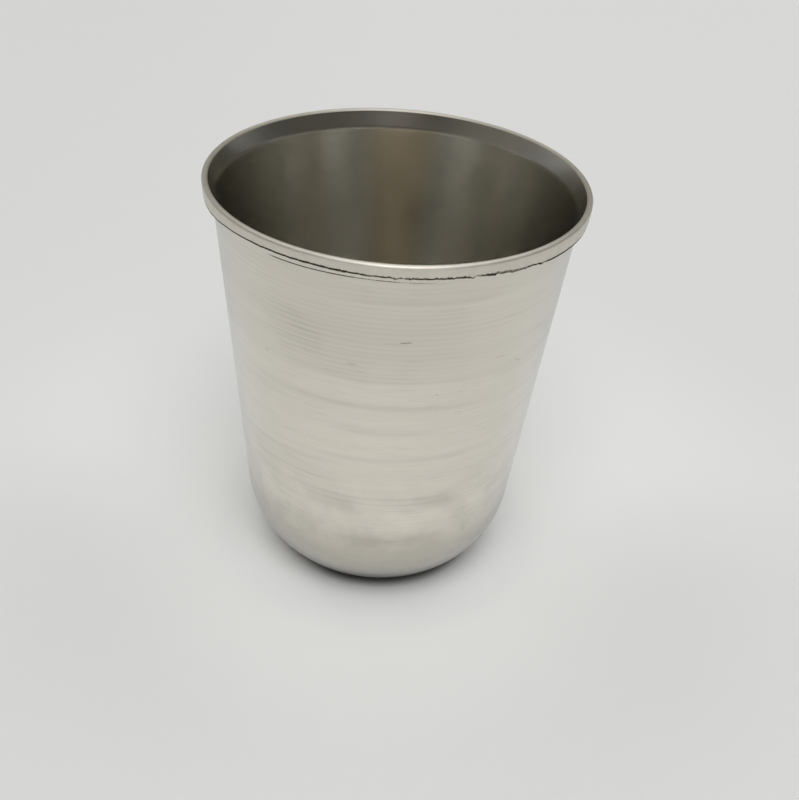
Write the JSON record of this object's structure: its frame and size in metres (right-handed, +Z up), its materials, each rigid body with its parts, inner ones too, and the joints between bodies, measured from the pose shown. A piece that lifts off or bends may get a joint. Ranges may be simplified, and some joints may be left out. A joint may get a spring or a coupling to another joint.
{
  "type": "steel cup",
  "caption": "Small open drinking cup of drawn sheet steel: tapered wall, soft bottom corner, creased and flared lip with its edge folded outwards.",
  "frame": {"origin": "centre of the circle that the cup stands on, at floor level", "axes": "+Z up along the cup's axis of revolution, +X to the right and +Y away from the picture's camera"},
  "size_m": [0.05, 0.05, 0.0575],
  "materials": {
    "drawn_steel": "satin, with fine polishing lines round the wall",
    "folded_steel": "smoother satin, with a ragged raw lower edge"
  },
  "bodies": {
    "root": {"cup_body": "drawn_steel", "rim_hem": "folded_steel"}
  },
  "joints": []
}
